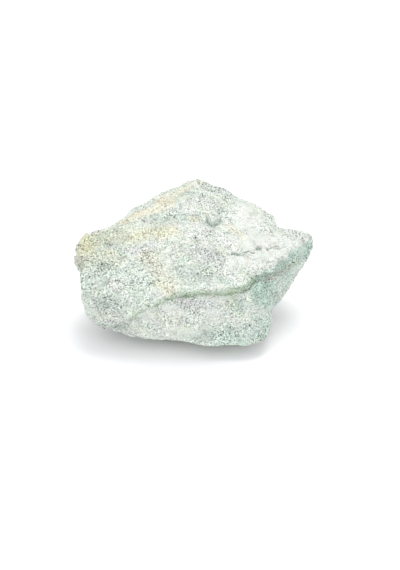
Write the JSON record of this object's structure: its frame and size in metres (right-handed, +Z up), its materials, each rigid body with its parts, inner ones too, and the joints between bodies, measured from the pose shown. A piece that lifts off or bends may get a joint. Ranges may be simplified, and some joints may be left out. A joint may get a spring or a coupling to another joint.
{
  "type": "raw fuchsite",
  "caption": "Rough lump of pale green mica rock with a slanted top, an overhanging front edge, a pointed side and a flat patch to rest on.",
  "frame": {"origin": "centre of the bounding box's bottom, on the surface the stone rests on", "axes": "+X along the stone's length towards its pointed end, -Y towards its front with the overhanging edge, +Z up"},
  "size_m": [0.0596, 0.042, 0.0284],
  "materials": {
    "rock": "rough sugary grain, cream and mint green with dark green specks, ochre stains and a few emerald mica patches"
  },
  "bodies": {
    "root": {"fuchsite": "rock"}
  },
  "joints": []
}
